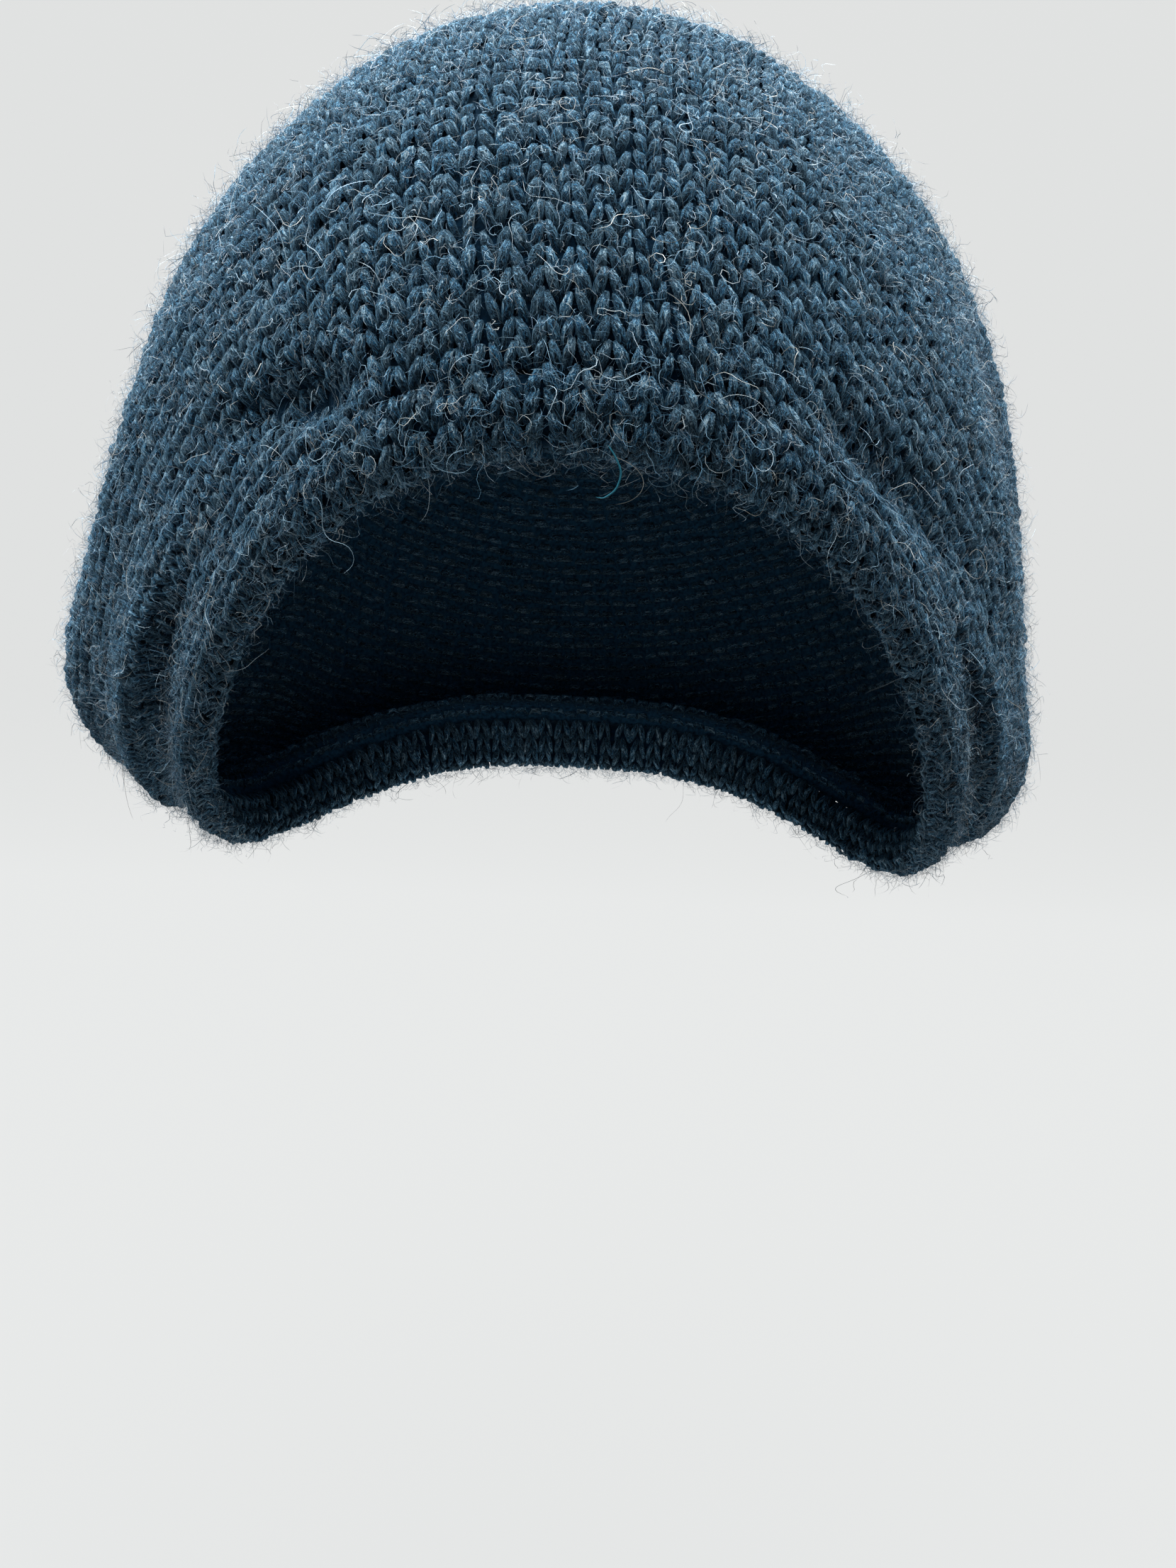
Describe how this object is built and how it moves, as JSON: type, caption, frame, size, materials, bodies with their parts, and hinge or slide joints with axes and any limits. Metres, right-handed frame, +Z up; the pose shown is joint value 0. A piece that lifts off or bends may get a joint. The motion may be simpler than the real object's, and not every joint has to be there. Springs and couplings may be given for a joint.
{
  "type": "slouchy hat",
  "caption": "Loose knitted hat with a folded hem, in the shape it has when worn, its slack bag hanging behind and beside the head.",
  "frame": {"origin": "centre of the opening that the head goes in", "axes": "+Z up and +X to the wearer's left when worn, -Y the way that the face looks; the opening's plane is tilted, high at the front"},
  "size_m": [0.2584, 0.2679, 0.208],
  "materials": {
    "yarn": "heathered blue wool in plain stitch, matt, with a halo of fine loose fibres"
  },
  "bodies": {
    "root": {"hem": "yarn", "crown_lower_1": "yarn", "crown_lower_2": "yarn", "crown_lower_3": "yarn", "crown_lower_4": "yarn", "crown_lower_5": "yarn", "crown_lower_6": "yarn", "crown_lower_7": "yarn", "crown_lower_8": "yarn", "crown_middle_1": "yarn", "crown_middle_2": "yarn", "crown_middle_3": "yarn", "crown_middle_4": "yarn", "crown_middle_5": "yarn", "crown_middle_6": "yarn", "crown_middle_7": "yarn", "crown_middle_8": "yarn", "crown_cap": "yarn"}
  },
  "joints": []
}
